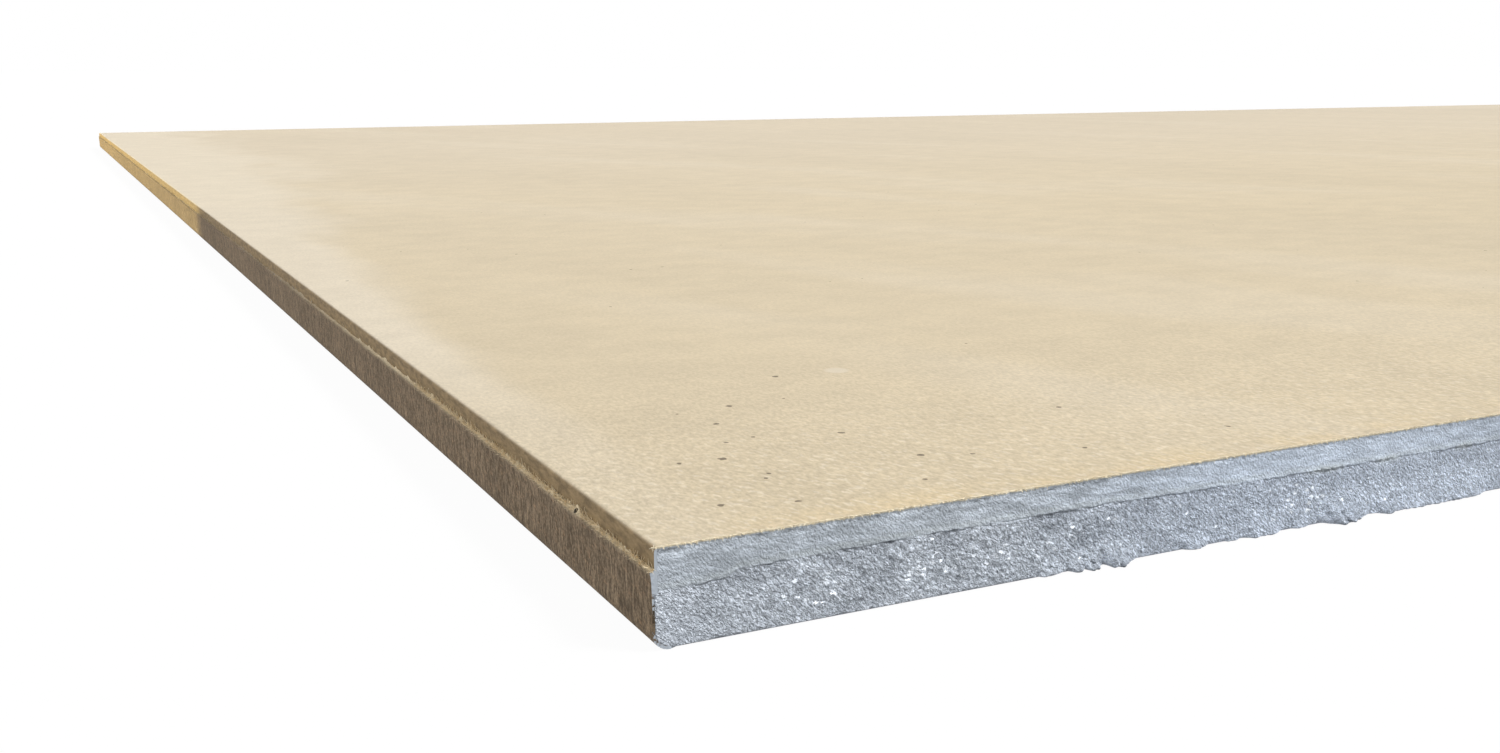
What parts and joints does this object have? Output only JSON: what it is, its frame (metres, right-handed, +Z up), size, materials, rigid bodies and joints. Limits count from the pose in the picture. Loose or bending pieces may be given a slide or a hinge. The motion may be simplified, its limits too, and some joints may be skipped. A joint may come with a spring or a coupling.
{
  "type": "render carrier board",
  "caption": "Flat faced mineral board, carries render on a wall; two ends wrapped with a lap, two edges scored and snapped.",
  "frame": {"origin": "middle of the underside", "axes": "+X along the board's length, between its two wrapped ends; +Y across it, from the cut edge in front to the one behind; +Z up, out of the render face"},
  "size_m": [2.4, 1.2, 0.0125],
  "materials": {
    "core": "pale blue-grey granular core, smooth where scored and rough where snapped",
    "face_sheet": "matt buff facing with fine fibres and small dark specks",
    "back_sheet": "matt brown-buff facing, upright streaks where it wraps the ends"
  },
  "bodies": {
    "root": {"core": "core", "face_sheet": "face_sheet", "back_sheet": "back_sheet"}
  },
  "joints": []
}
